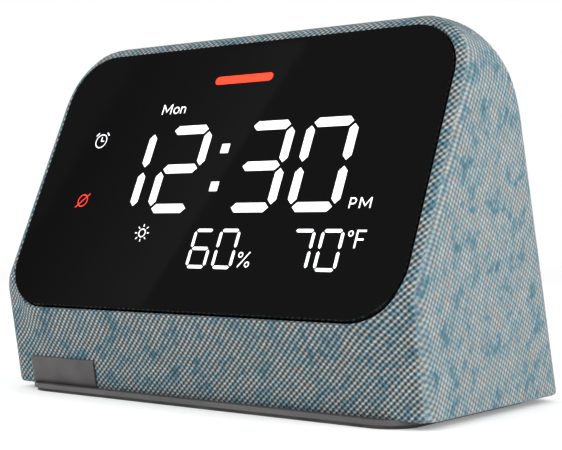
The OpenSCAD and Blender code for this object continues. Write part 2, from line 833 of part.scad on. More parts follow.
// Chips, coils and connectors as [x, y, width, depth, height]
board_blocks = [
  [-20, -9, 12, 12, 1.1], [8, -12, 9, 9, 1.2], [22, -10, 6, 6, 2.6], [28, 2, 5, 4, 2], [-34, -4, 5, 8, 1.2],
  [-7, -20.6, 14, 3.4, 1.8], [26, -19.6, 8, 3, 1.8], [-13.5, 7.6, 5, 3.6, 2]
];
module board_parts() color([0.10, 0.10, 0.11]) {
  for (b = board_blocks) translate([b[0], b[1], board_z1 + seat_gap]) cube([b[2], b[3], b[4]]);
}

module antenna() color(brass) {
  translate([-body_w/2 + wall_in + 0.05, -6, 22]) cube([0.25, 12, 26]);
}

// Flat cable: a ribbon of width w whose edge follows the points given in y and z
ribbon_t = 0.3;
module ribbon(x, w, pts) {
  translate([x - w/2, 0, 0]) rotate([90, 0, 90]) linear_extrude(w) {
    for (i = [0:len(pts)-2]) stroke(pts[i], pts[i+1], ribbon_t);
    for (i = [1:len(pts)-2]) translate(pts[i]) circle(ribbon_t/2, $fn = 12);
  }
}

// One cable feeds the display, the other the button board
module flat_cables() color([0.85, 0.82, 0.75]) {
  ribbon(0, 11, [[-23.3, 25.0], [-23.9, 18], [-23.3, 13.2], [-20.5, 12.6], [-19, 11.52]]);
  ribbon(30, 6, [[-1.9, 78.0], [-1.5, 74.5], [-9.3, 57], [-20.9, 30], [-22.9, 20], [-22.0, 13.5], [-18.6, 12.2], [-18, 11.52]]);
}

// Round wire through the given points
module wire(pts, r) {
  for (i = [0:len(pts)-2]) {
    d = pts[i+1] - pts[i];
    translate(pts[i] - d*0.3*r/norm(d)) rotate([0, acos(d[2]/norm(d)), atan2(d[1], d[0])])
      cylinder(r = r, h = norm(d) + 0.6*r, $fn = 8);
  }
}

module speaker_wires() color([0.6, 0.1, 0.1]) {
  for (s = [-1, 1]) wire([[1.2*s, 16.9, 24.8], [1.2*s, 18.9, 19.7], [1.2*s - 11, 14, 17.2], [1.2*s - 11, 9.4, 12.05]], 0.5);
}

module board_screws() color(metal) standoff_positions() translate([0, 0, board_z1 + 0.05]) screw(1.9, 1.3, 0.95, 4.6);

// ---- Assembly ----

fabric_sleeve();
housing();
base_plate();
rubber_foot();
label_tag();
display_lens();
display_frame();
diffuser_sheet();
segment_reflector();
display_board();
segment_leds();
frame_screws();
light_bar();
hour_tens();
hour_units();
time_colon();
minute_tens();
minute_units();
pm_mark();
day_mark();
alarm_icon();
mute_icon();
weather_icon();
humidity_digits();
percent_sign();
temperature_digits();
degree_unit();
volume_down_button();
play_button();
alarm_button();
volume_up_button();
button_board();
tact_switches();
microphones();
port_panel();
dc_jack();
dc_jack_pin();
usb_socket();
usb_tongue();
mute_knob();
mute_switch();
speaker_gasket();
speaker_basket();
speaker_surround();
speaker_cone();
voice_coil();
dust_cap();
speaker_magnet();
speaker_yoke();
speaker_chamber();
speaker_screws();
main_board();
shield_can();
board_parts();
antenna();
flat_cables();
speaker_wires();
board_screws();
base_screws();
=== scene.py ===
"""Looks of the smart display clock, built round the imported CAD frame.

Lengths are in millimetres until they reach a mesh, and angles are in degrees. +X is to the right
seen from the front, +Y to the back and +Z up.
"""

import json
import math

import bmesh
import bpy
import numpy as np
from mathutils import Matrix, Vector


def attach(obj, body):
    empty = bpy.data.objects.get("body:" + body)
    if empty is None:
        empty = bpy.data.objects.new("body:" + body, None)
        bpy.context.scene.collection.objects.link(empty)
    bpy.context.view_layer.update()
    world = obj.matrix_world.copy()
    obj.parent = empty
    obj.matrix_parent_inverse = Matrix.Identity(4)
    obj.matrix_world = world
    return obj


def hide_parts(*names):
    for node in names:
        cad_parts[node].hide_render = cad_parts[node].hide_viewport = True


MM = 0.001
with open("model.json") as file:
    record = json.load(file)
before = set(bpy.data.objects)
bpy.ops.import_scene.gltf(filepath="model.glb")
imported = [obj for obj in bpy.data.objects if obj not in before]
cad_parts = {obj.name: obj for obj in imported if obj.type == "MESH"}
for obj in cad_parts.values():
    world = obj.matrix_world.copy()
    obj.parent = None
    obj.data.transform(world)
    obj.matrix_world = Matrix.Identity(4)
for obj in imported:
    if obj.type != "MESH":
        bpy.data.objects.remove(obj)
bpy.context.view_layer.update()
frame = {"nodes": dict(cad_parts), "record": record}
scene = bpy.context.scene

# ---- Sizes shared with the CAD source ----

BODY_W, BODY_D, BODY_H = 120.0, 66.4, 85.6
FRONT_LEAN, BACK_LEAN, UPPER_BACK_LEAN, CHIN_LEAN = 24.0, 16.0, 28.2, 10.0
SKIRT_Z, OUTLINE_R = 2.0, 16.6
GLASS_W, GLASS_L, GLASS_R, GLASS_Z, GLASS_PROUD = 112.4, 67.3, 12.0, 21.7, 0.3
NOSE_R, NOSE_Z, BROW_R, SHOULDER_R, HEEL_R = 8.2, 25.9, 5.0, 34.0, 2.0
FABRIC_T = 1.0
BUTTON_PITCH, BUTTON_L, BUTTON_W, BUTTON_TILT, BUTTON_PROUD = 15.0, 9.0, 4.0, 42.0, 0.25
TRAY_W, TRAY_Z0, TRAY_Z1, TRAY_BACK_Y = 58.0, 6.5, 20.5, 25.2
STEP_W, STEP_D, STEP_R, BASE_Y, BOTTOM_TOP_Z = 102.6, 48.6, 6.4, 1.0, 6.0

# ---- Sizes of the looks ----

# Roundings of the cover's edges, and its hem, which hangs a little below the CAD sleeve's
FRONT_EDGE_R, BACK_EDGE_R, UPPER_BACK_EDGE_R, TOP_EDGE_EASE = 3.8, 5.2, 1.2, 1.0
HEM_Z, HEM_R = 1.6, 0.8
# Apron: the fabric stretched from under the glass's lower edge down to the chin
APRON_EDGE, APRON_TOP, APRON_ROUND, APRON_BLEND = 1.0, -0.7, 0.5, 1.6
APRON_REACH, APRON_FOOT_Z = 9.0, 10.5
# Gaps round what the cover lets through, and the roll of its edge at the glass
BUTTON_PLAY, TRAY_PLAY, STEP_PLAY, POCKET_PLAY = 0.2, 0.1, 0.8, 0.25
LIP_R, LIP_STEPS = 0.6, 4
# The openings for the buttons run between two distances from the ridge's axis, and the tray's to a Y
BUTTON_CUT, TRAY_CUT_Y, TRAY_R = (2.0, 8.0), 45.0, 0.3
# Points along a ring of the cover: across, upright, and round one corner
ACROSS, UPRIGHT, ROUND = 84, 56, 12
# Steps between the rings over the front, the sides and the back
FRONT_RINGS, SIDE_RINGS, BACK_RINGS = 19, 57, 33
# The line across the back on which the cover closes
CLOSE_HALF, CLOSE_Z = 30.0, 44.0
# Rays that find the surface start on a smaller, lifted copy of the points, or at a depth behind the
# glass, and reach a few times their own heading
INNER_SCALE, INNER_LIFT, GLASS_DEPTH = (0.75, 0.35, 0.5), (0, 0, 18), 14.0
RAY_REACH, HALVINGS = 4.0, 44
# Stitches: their pitch, the turn of the rows on the sides, and the height at which rows meet
KNIT_PERIOD, SIDE_TURN, EDGE_MEET_Z = 1.5, 17.0, 12.0
# How far a surface faces sideways where the side's stitches take over, and where the painted shade in
# the knit's grooves and gaps fades out with its deeper relief, and how far it faces back where both fade
# by a share
SIDE_STITCHES, SIDE_SHADE_FADES, BACK_SHADE_FADES, BACK_SHADE_SHARE = (0.68, 0.74), (0.35, 0.8), (0.3, 0.7), 0.35
# Marks on the buttons: stroke, reach of the plus and minus, and the alarm clock's dial
MARK_T, MARK_REACH, DIAL_R, MARK_STEPS = 0.42, 1.15, 0.92, 20
MARK_LOW, MARK_HIGH, BELL_T, HAND_T = -0.15, 0.12, 0.3, 0.2
LIT_SHRINK = 0.07
BUTTON_BEVEL = 0.35
# Rise of the speaker's axis towards the back, which the windings of its coil follow
SPEAKER_TILT = 22.0
# The floor's half width, and the distances in metres over which it fades out
FLOOR_HALF, FLOOR_FADE = 1200.0, (0.45, 1.1)
# Strengths of the surroundings, plain and mirrored, and of the card that the glass mirrors
WORLD_LIGHT, GLOSSY_LIGHT, CARD_LIGHT, CARD_DISTANCE = 0.78, 0.035, 0.13, 1.4
LIGHT_TARGET = (0, 0, 40)
CAMERA_AT = np.array([190.75, -242.92, 40.40])
CAMERA_AZIMUTH, CAMERA_LENS, CAMERA_SENSOR = 37.59, 83.19, 36.0

# ---- Planes and corners of the body ----


def direction(degrees):
    """Unit vector at an angle from +Y towards +Z."""
    a = math.radians(degrees)
    return np.array([math.cos(a), math.sin(a)])


def at_z(plane, inset, z):
    """Point of the YZ plane at height z that lies inset inside a plane of the profile."""
    c, s = direction(plane[0])
    return np.array([(plane[1] - inset - z * s) / c, z])


def corner(p, q, r):
    """Centre of the circle of radius r that touches planes p and q from inside."""
    a, b = p[1] - r, q[1] - r
    s = math.sin(math.radians(q[0] - p[0]))
    (pc, ps), (qc, qs) = direction(p[0]), direction(q[0])
    return np.array([(a * qs - b * ps) / s, (b * pc - a * qc) / s])


FRONT_ANGLE, CHIN_ANGLE = 180 - FRONT_LEAN, 180 + CHIN_LEAN
FRONT_PLANE = (FRONT_ANGLE, direction(FRONT_ANGLE) @ (-BODY_D / 2, GLASS_Z) - GLASS_PROUD)
NOSE_C = at_z(FRONT_PLANE, NOSE_R, NOSE_Z)
CHIN_PLANE = (CHIN_ANGLE, direction(CHIN_ANGLE) @ NOSE_C + NOSE_R)
BROW_C = at_z(FRONT_PLANE, BROW_R, BODY_H - BROW_R)
UPPER_BACK_PLANE = (UPPER_BACK_LEAN, direction(UPPER_BACK_LEAN) @ BROW_C + BROW_R)
HEEL_C = np.array([BODY_D / 2 - HEEL_R, SKIRT_Z + HEEL_R])
BACK_PLANE = (BACK_LEAN, direction(BACK_LEAN) @ HEEL_C + HEEL_R)
FLOOR_PLANE = (-90.0, 60.0)
# Each entry is a plane and the radius of the corner that follows it. Both shapes run on far below
# the table, and the hem then closes the bottom
PROFILE = [
    (FLOOR_PLANE, 1.0),
    ((0.0, BODY_D / 2), HEEL_R),
    (BACK_PLANE, SHOULDER_R),
    (UPPER_BACK_PLANE, BROW_R),
    (FRONT_PLANE, NOSE_R),
    (CHIN_PLANE, 1.0),
]
OUTLINE = [
    (FLOOR_PLANE, 1.0),
    ((0.0, BODY_W / 2), OUTLINE_R),
    ((90.0, BODY_H + 0.02), OUTLINE_R),
    ((180.0, BODY_W / 2), 1.0),
]
# Front frame: x right, y up the slope from the glass's lower edge, z out of the fabric's front plane
SLOPE_AXIS = np.array([0.0, math.sin(math.radians(FRONT_LEAN)), math.cos(math.radians(FRONT_LEAN))])
OUT_AXIS = np.array([0.0, -SLOPE_AXIS[2], SLOPE_AXIS[1]])
FRONT_ORIGIN = np.array([0.0, *at_z(FRONT_PLANE, 0, GLASS_Z - GLASS_PROUD * SLOPE_AXIS[1])])
# Where the flat front ends and the ridge's round begins, and where that round meets the back
FRONT_TOP_Z = BROW_C[1] + BROW_R * math.sin(math.radians(FRONT_LEAN))
BACK_TOP_Z = BROW_C[1] + BROW_R * math.sin(math.radians(UPPER_BACK_LEAN))
BUTTON_X = [(i - 1.5) * BUTTON_PITCH for i in range(4)]

# ---- The body's surface as a distance field ----


def smooth_step(low, high, x):
    """Rise from 0 to 1 between low and high, level at both ends."""
    t = np.clip((x - low) / (high - low), 0, 1)
    return t * t * (3 - 2 * t)


def ring_distance(ring, points):
    """Signed distance and outward normal of a convex outline with rounded corners."""
    best = np.full(len(points), -np.inf)
    normal = np.zeros_like(points)
    for i, (plane, radius) in enumerate(ring):
        following = ring[(i + 1) % len(ring)][0]
        n = direction(plane[0])
        flat = points @ n - plane[1]
        nearer = flat > best
        best = np.where(nearer, flat, best)
        normal[nearer] = n
        centre = corner(plane, following, radius)
        away = points - centre
        reach = np.linalg.norm(away, axis=1)
        turn = (following[0] - plane[0]) % 360
        angle = (np.degrees(np.arctan2(away[:, 1], away[:, 0])) - plane[0]) % 360
        bend = reach - radius
        nearer = (angle < turn) & (bend > best)
        best = np.where(nearer, bend, best)
        normal[nearer] = away[nearer] / np.maximum(reach[nearer], 1e-6)[:, None]
    return best, normal


def unit(vectors):
    """Rows scaled to length 1."""
    return vectors / np.maximum(np.linalg.norm(vectors, axis=1), 1e-9)[:, None]


def fillet(first, n1, second, n2, r):
    """Intersection of two shapes with the edge between them rounded by r."""
    a, b = first + r, second + r
    cosine = np.clip((n1 * n2).sum(1), -0.999, 0.999)
    rounded = (a - b * cosine > 0) & (b - a * cosine > 0)
    sine2 = 1 - cosine**2
    length = np.sqrt(np.maximum(a * a + b * b - 2 * a * b * cosine, 0) / sine2)
    value = np.where(rounded, length - r, np.maximum(first, second))
    w1 = np.where(rounded, (a - b * cosine) / sine2, (first >= second).astype(float))
    w2 = np.where(rounded, (b - a * cosine) / sine2, (first < second).astype(float))
    return value, unit(n1 * w1[:, None] + n2 * w2[:, None])


def blend(first, n1, second, n2, width):
    """Union of two shapes that run into each other over a width."""
    h = np.maximum(width - np.abs(first - second), 0) / width
    value = np.minimum(first, second) - h * h * width / 4
    share = np.where(first < second, h / 2, 1 - h / 2)[:, None]
    return value, unit(n1 * (1 - share) + n2 * share)


def glass_distance(points):
    """Distance outside the glass's outline seen square on, and its direction."""
    local = points - FRONT_ORIGIN
    flat = np.c_[points[:, 0], local @ SLOPE_AXIS - GLASS_L / 2]
    q = np.abs(flat) - (GLASS_W / 2 - GLASS_R, GLASS_L / 2 - GLASS_R)
    reach = np.linalg.norm(np.maximum(q, 0), axis=1)
    value = reach + np.minimum(q.max(1), 0) - GLASS_R
    edge = unit(np.where(reach[:, None] > 0, np.maximum(q, 0), q == q.max(1)[:, None]) * np.sign(flat))
    return value, edge[:, :1] * (1, 0, 0) + edge[:, 1:] * SLOPE_AXIS


def apron_distance(points):
    """Fabric pulled tight from under the glass's lower edge to the middle of the chin."""
    rim, rim_n = glass_distance(points)
    out = (points - FRONT_ORIGIN) @ OUT_AXIS
    edge_foot = FRONT_ORIGIN[1:] - SLOPE_AXIS[1:] * APRON_EDGE + OUT_AXIS[1:] * APRON_TOP
    run = at_z(CHIN_PLANE, 0, APRON_FOOT_Z) - edge_foot
    flare = math.pi / 2 - math.radians(FRONT_LEAN) - math.atan2(run[0], -run[1])
    c, s = math.cos(flare), math.sin(flare)
    skirt = (rim - APRON_EDGE) * c + (out - APRON_TOP) * s
    top_n = np.tile(OUT_AXIS, (len(points), 1))
    value, normal = fillet(skirt, rim_n * c + top_n * s, out - APRON_TOP, top_n, APRON_ROUND)
    # Higher up and further in the apron is buried in the body, and ends
    up = (points - FRONT_ORIGIN) @ SLOPE_AXIS
    return np.maximum(value, np.maximum(up - APRON_REACH, -APRON_REACH - out)), normal


def body_distance(points):
    """Distance outside the fabric and its outward normal, with every edge rounded."""
    side, side_n = ring_distance(PROFILE, points[:, 1:])
    rim, rim_n = ring_distance(OUTLINE, points[:, [0, 2]])
    n1 = np.c_[np.zeros(len(points)), side_n]
    n2 = np.c_[rim_n[:, 0], np.zeros(len(points)), rim_n[:, 1]]
    backward = smooth_step(-0.4, 0.4, side_n[:, 0])
    side, n1 = blend(side, n1, *apron_distance(points), APRON_BLEND)
    # The edges are tighter round the top corners and beside the upper back
    r = FRONT_EDGE_R - TOP_EDGE_EASE * smooth_step(0.2, 0.7, rim_n[:, 1])
    r = r + (UPPER_BACK_EDGE_R - r) * backward
    value, normal = fillet(side, n1, rim, n2, r)
    back_n = np.tile([0.0, *direction(BACK_LEAN)], (len(points), 1))
    back = (points * back_n).sum(1) - BACK_PLANE[1]
    round_back, round_n = fillet(back, back_n, rim, n2, BACK_EDGE_R)
    normal = np.where((round_back > value)[:, None], round_n, normal)
    value = np.maximum(value, round_back)
    down = np.tile((0.0, 0.0, -1.0), (len(points), 1))
    return fillet(value, normal, HEM_Z - points[:, 2], down, HEM_R)


def onto_body(start, heading):
    """Where the rays from points inside the body along headings leave it."""
    near, far = np.zeros(len(start)), np.full(len(start), RAY_REACH)
    for _ in range(HALVINGS):
        middle = (near + far) / 2
        outside = body_distance(start + heading * middle[:, None])[0] > 0
        near, far = np.where(outside, near, middle), np.where(outside, middle, far)
    return start + heading * ((near + far) / 2)[:, None]


def project(points):
    """Points near the surface, moved onto it along rays from a smaller copy inside the body."""
    inner = points * INNER_SCALE + INNER_LIFT
    return onto_body(inner, points - inner)


# ---- Fabric cover ----


def rounded_ring(x0, x1, y0, y1, r_low, r_high):
    """Ring of points round a rectangle with rounded corners, anticlockwise from the bottom left."""
    points = []
    sides = [
        ((x0 + r_low, y0), (x1 - r_low, y0), ACROSS, (x1 - r_low, y0 + r_low), r_low, -90),
        ((x1, y0 + r_low), (x1, y1 - r_high), UPRIGHT, (x1 - r_high, y1 - r_high), r_high, 0),
        ((x1 - r_high, y1), (x0 + r_high, y1), ACROSS, (x0 + r_high, y1 - r_high), r_high, 90),
        ((x0, y1 - r_high), (x0, y0 + r_low), UPRIGHT, (x0 + r_low, y0 + r_low), r_low, 180),
    ]
    for a, b, count, centre, r, angle in sides:
        for t in np.linspace(0, 1, count, endpoint=False):
            points.append((a[0] + (b[0] - a[0]) * t, a[1] + (b[1] - a[1]) * t))
        for k in range(ROUND):
            c, s = direction(angle + 90 * k / ROUND)
            points.append((centre[0] + r * c, centre[1] + r * s))
    return np.array(points)


def profile_y(z, back):
    """Y of the profile's front or back at heights z."""
    z = np.asarray(z, float)
    low, high = (0.0, 60.0) if back else (-60.0, 0.0)
    a, b = np.full(z.shape, low), np.full(z.shape, high)
    for _ in range(40):
        m = (a + b) / 2
        outside = ring_distance(PROFILE, np.c_[m, z])[0] > 0
        if back:
            a, b = np.where(outside, a, m), np.where(outside, m, b)
        else:
            a, b = np.where(outside, m, a), np.where(outside, b, m)
    return (a + b) / 2


def front_point(x, up, out):
    """Points of the front frame in the row frame."""
    return FRONT_ORIGIN + np.outer(x, (1, 0, 0)) + np.outer(up, SLOPE_AXIS) + np.outer(out, OUT_AXIS)


def lip_ring(offset, depth):
    """Ring of the fabric's edge, offset outside the glass and depth under the surface."""
    half, r = GLASS_W / 2 + offset, GLASS_R + offset
    g = rounded_ring(-half, half, -offset, GLASS_L + offset, r, r)
    start = front_point(g[:, 0], g[:, 1], np.full(len(g), -GLASS_DEPTH))
    surface = onto_body(start, np.tile(OUT_AXIS * 5, (len(g), 1)))
    return surface - OUT_AXIS * depth


def outline_ring(edge, top_z, back):
    """The outline's points laid on the front or back of the profile, up to a height."""
    z = np.clip(edge[:, 1], HEM_Z + 0.5, top_z)
    return np.c_[edge[:, 0], profile_y(z, back), z]


def seam_partners(n):
    """For each place of the last ring, the place whose point it shares on the closing line."""
    half = n // 2
    partners = []
    for k in range(n):
        if k <= ACROSS:
            partners.append(k)
        elif k < half:
            partners.append(ACROSS)
        elif k <= half + ACROSS:
            partners.append(ACROSS - (k - half))
        else:
            partners.append(0)
    return partners


def cover_rings():
    """Rings of the outside, from the glass's gap over the front and sides to a line on the back."""
    rings = [lip_ring(POCKET_PLAY, FABRIC_T)]
    for step in range(LIP_STEPS + 1):
        c, s = direction(90 * step / LIP_STEPS)
        rings.append(lip_ring(POCKET_PLAY + LIP_R * (1 - c), LIP_R * (1 - s)))
    edge = rounded_ring(-BODY_W / 2, BODY_W / 2, HEM_Z, BODY_H, 1.0, OUTLINE_R)
    lip = rings[-1]
    front = outline_ring(edge, FRONT_TOP_Z, False)
    back = outline_ring(edge, BACK_TOP_Z, True)
    seam = np.array(seam_partners(len(edge)))
    closing = np.full((len(edge), 3), CLOSE_Z)
    closing[:, 0] = CLOSE_HALF * (2 * seam / ACROSS - 1)
    closing[:, 1] = profile_y(closing[:, 2], True)
    for t in np.linspace(0, 1, FRONT_RINGS + 1)[1:]:
        rings.append(project(lip + (front - lip) * t))
    for t in np.linspace(0, 1, SIDE_RINGS + 1)[1:]:
        # The rings crowd towards both edges
        eased = 0.35 * t + 0.65 * (0.5 - 0.5 * math.cos(math.pi * t))
        rings.append(project(front + (back - front) * eased))
    last = rings[-1]
    for t in np.linspace(0, 1, BACK_RINGS + 1)[1:]:
        eased = 0.6 * t + 0.4 * t * t
        rings.append(project(last + (closing - last) * eased))
    return rings


def mesh_object(name, vertices, faces):
    """New object from points in millimetres."""
    mesh = bpy.data.meshes.new(name)
    mesh.from_pydata([tuple(v) for v in np.asarray(vertices) * MM], [], faces)
    mesh.update()
    obj = bpy.data.objects.new(name, mesh)
    scene.collection.objects.link(obj)
    return obj


def recalculate_normals(mesh):
    """Drops points that no face uses and turns every face outwards."""
    bm = bmesh.new()
    bm.from_mesh(mesh)
    bmesh.ops.delete(bm, geom=[v for v in bm.verts if not v.link_faces], context="VERTS")
    bmesh.ops.recalc_face_normals(bm, faces=bm.faces)
    bm.to_mesh(mesh)
    bm.free()


def cover_shell():
    """Closed shell of the cover: outside, rolled edge, and an inside one fabric thickness in."""
    rings = cover_rings()
    n = len(rings[0])
    # The rings of the rolled edge have no inside of their own, but for the last
    inner = [ring - body_distance(ring)[1] * FABRIC_T for ring in rings[LIP_STEPS + 1 :]]
    points = np.vstack(rings + inner)
    seam = seam_partners(n)

    def quad(first, second, i, k):
        """Quad between two rings at place k, with the points of the closing seam shared."""
        corners = [first + k, first + (k + 1) % n, second + (k + 1) % n, second + k]
        if i:
            corners[2], corners[3] = second + seam[(k + 1) % n], second + seam[k]
        return list(dict.fromkeys(corners))

    faces = []
    for i in range(len(rings) - 1):
        closing = i == len(rings) - 2
        faces += [quad(i * n, (i + 1) * n, closing, k) for k in range(n)]
    base = len(rings) * n
    for i in range(len(inner) - 1):
        closing = i == len(inner) - 2
        faces += [quad(base + i * n, base + (i + 1) * n, closing, k)[::-1] for k in range(n)]
    faces += [(k, base + k, base + (k + 1) % n, (k + 1) % n) for k in range(n)]
    obj = mesh_object("fabric_cover", points, [f for f in faces if len(f) > 2])
    recalculate_normals(obj.data)
    return obj


def prism(outline, place, low, high):
    """Vertices and faces of a prism over a 2D outline, placed by a function of its points."""
    n = len(outline)
    bottom = place(np.c_[outline, np.full(n, low)])
    top = place(np.c_[outline, np.full(n, high)])
    faces = [tuple(range(n - 1, -1, -1)), tuple(range(n, 2 * n))]
    faces += [(k, (k + 1) % n, n + (k + 1) % n, n + k) for k in range(n)]
    return np.vstack([bottom, top]), faces


def joined_prisms(name, parts):
    """One object that holds several prisms."""
    vertices, faces, start = [], [], 0
    for part_vertices, part_faces in parts:
        vertices.append(part_vertices)
        faces += [tuple(i + start for i in face) for face in part_faces]
        start += len(part_vertices)
    obj = mesh_object(name, np.vstack(vertices), faces)
    recalculate_normals(obj.data)
    return obj


def pill_outline(length, width, steps=12):
    """Slot shape with round ends."""
    r, points = width / 2, []
    for sign in (1, -1):
        for k in range(steps + 1):
            c, s = direction(-90 + 180 * k / steps)
            points.append((sign * (length / 2 - r + r * c), sign * r * s))
    return np.array(points)


def round_rect_outline(w, h, r, steps=6):
    """Rectangle with rounded corners about the origin."""
    points = []
    for x, y, angle in ((1, -1, -90), (1, 1, 0), (-1, 1, 90), (-1, -1, 180)):
        for k in range(steps + 1):
            c, s = direction(angle + 90 * k / steps)
            points.append((x * (w / 2 - r) + r * c, y * (h / 2 - r) + r * s))
    return np.array(points)


def on_ridge(x):
    """Placing function whose origin is on the axis of the ridge's round, with z through the buttons."""
    c, s = direction(BUTTON_TILT)

    def place(p):
        y = BROW_C[0] + p[:, 1] * c + p[:, 2] * s
        z = BROW_C[1] - p[:, 1] * s + p[:, 2] * c
        return np.c_[x + p[:, 0], y, z]

    return place


def cover_openings():
    """One object that holds every hole of the cover: buttons, port tray and base."""

    def on_tray(p):
        return np.c_[-p[:, 0], p[:, 2], (TRAY_Z0 + TRAY_Z1) / 2 + p[:, 1]]

    def on_base(p):
        return p + (0, BASE_Y, 0)

    button = pill_outline(BUTTON_L + 2 * BUTTON_PLAY, BUTTON_W + 2 * BUTTON_PLAY)
    tray = round_rect_outline(TRAY_W + 2 * TRAY_PLAY, TRAY_Z1 - TRAY_Z0 + 2 * TRAY_PLAY, TRAY_R, 2)
    base = round_rect_outline(STEP_W + STEP_PLAY, STEP_D + STEP_PLAY, STEP_R)
    parts = [prism(button, on_ridge(x), *BUTTON_CUT) for x in BUTTON_X]
    parts.append(prism(tray, on_tray, TRAY_BACK_Y, TRAY_CUT_Y))
    parts.append(prism(base, on_base, 0.0, BOTTOM_TOP_Z))
    return joined_prisms("cover_openings", parts)


def cut(obj, tool):
    """Subtracts tool from obj for good."""
    modifier = obj.modifiers.new("cut", "BOOLEAN")
    modifier.operation = "DIFFERENCE"
    modifier.solver = "MANIFOLD"
    modifier.object = tool
    evaluated = obj.evaluated_get(bpy.context.evaluated_depsgraph_get())
    result = bpy.data.meshes.new_from_object(evaluated)
    obj.modifiers.clear()
    obj.data = result
    bpy.data.objects.remove(tool)


# ---- Knit coordinates ----


def front_length(z):
    """Length up the front's slope from the glass's lower edge to heights z."""
    return (z - GLASS_Z) / math.cos(math.radians(FRONT_LEAN))


def profile_length(points):
    """Length along the profile of points near it: up the front, over the ridge, down the back."""
    y, z = points[:, 1], points[:, 2]
    front_end = front_length(FRONT_TOP_Z)
    angle = np.arctan2(z - BROW_C[1], y - BROW_C[0])
    start, end = math.radians(FRONT_ANGLE), math.radians(UPPER_BACK_LEAN)
    ridge_end = front_end + BROW_R * (start - end)
    zs = np.linspace(BACK_TOP_Z, HEM_Z, 160)
    steps = np.hypot(np.diff(profile_y(zs, True)), np.diff(zs))
    down = np.interp(-z, -zs, np.r_[0, np.cumsum(steps)])
    middle = (profile_y(z, False) + profile_y(z, True)) / 2
    length = np.where(y < middle, front_length(z), ridge_end + down)
    over_ridge = (angle < start) & (angle > end) & (z > BROW_C[1])
    return np.where(over_ridge, front_end + BROW_R * (start - angle), length)


def knit_coordinates(points):
    """Two sets of coordinates in stitches, the second set's share, and how strong the knit's painted
    shade and relief are.

    The first set covers the front, the ridge and the back, and the second the sides and underside.
    """
    x, y, z = points.T
    _, normal = body_distance(points)
    u1, v1 = x, profile_length(points)
    # Round the front edge the stitches keep their size along the surface
    rim, rim_n = ring_distance(OUTLINE, points[:, [0, 2]])
    reach = np.clip((FRONT_EDGE_R + rim) / FRONT_EDGE_R, 0, 0.95)
    longer = FRONT_EDGE_R * (np.arcsin(reach) - reach)
    u1 = u1 + rim_n[:, 0] * longer
    v1 = v1 + np.maximum(rim_n[:, 1], 0) * longer
    # On the sides the rows run on from the chin's and climb towards the back
    meet_y = profile_y([EDGE_MEET_Z], False)[0] + 0.3 * FRONT_EDGE_R
    meet_x = BODY_W / 2 - (1 - math.pi / 4) * FRONT_EDGE_R
    c, s = direction(SIDE_TURN)
    dy, dz = y - meet_y, z - EDGE_MEET_Z
    u2 = np.sign(x) * (meet_x + dy * c + dz * s)
    v2 = front_length(EDGE_MEET_Z) - dy * s + dz * c
    under = normal[:, 2] < -0.7
    u2, v2 = np.where(under, x, u2), np.where(under, y, v2)
    sideways = np.abs(normal[:, 0])
    share = np.where(under, 1.0, smooth_step(*SIDE_STITCHES, sideways))
    # Painted shade in the knit's grooves and gaps, with deeper relief, where the surface faces neither
    # sideways nor back
    relief_and_shade = 1 - smooth_step(*SIDE_SHADE_FADES, sideways)
    relief_and_shade = relief_and_shade - BACK_SHADE_SHARE * smooth_step(*BACK_SHADE_FADES, normal[:, 1])
    flat = np.zeros(len(x))
    first = np.c_[u1 + v1, u1 - v1, flat] / KNIT_PERIOD
    second = np.c_[u2 + v2, u2 - v2, flat] / KNIT_PERIOD
    return first, second, share, np.clip(relief_and_shade, 0, 1)


def add_attribute(mesh, name, values):
    """Stores one number or one vector for each point of a mesh."""
    values = np.asarray(values, np.float32)
    kind, field = ("FLOAT_VECTOR", "vector") if values.ndim == 2 else ("FLOAT", "value")
    mesh.attributes.new(name, kind, "POINT").data.foreach_set(field, values.ravel())


def vertex_array(mesh):
    """The mesh's points as rows, in metres."""
    co = np.zeros(len(mesh.vertices) * 3, np.float32)
    mesh.vertices.foreach_get("co", co)
    return co.reshape(-1, 3).astype(float)


def shade_smooth(mesh, angle=50):
    """Smooth shading with edges sharper than the angle kept."""
    mesh.shade_smooth()
    mesh.set_sharp_from_angle(angle=math.radians(angle))


# ---- Shader helpers ----


def linear(rgb):
    """Linear colour from display values of 11 to 255."""
    return tuple(((c / 255 + 0.055) / 1.055) ** 2.4 for c in rgb) + (1.0,)


def shaded(colour, factor):
    """Opaque colour, darker or lighter by a factor."""
    return tuple(min(c * factor, 1.0) for c in colour[:3]) + (1.0,)


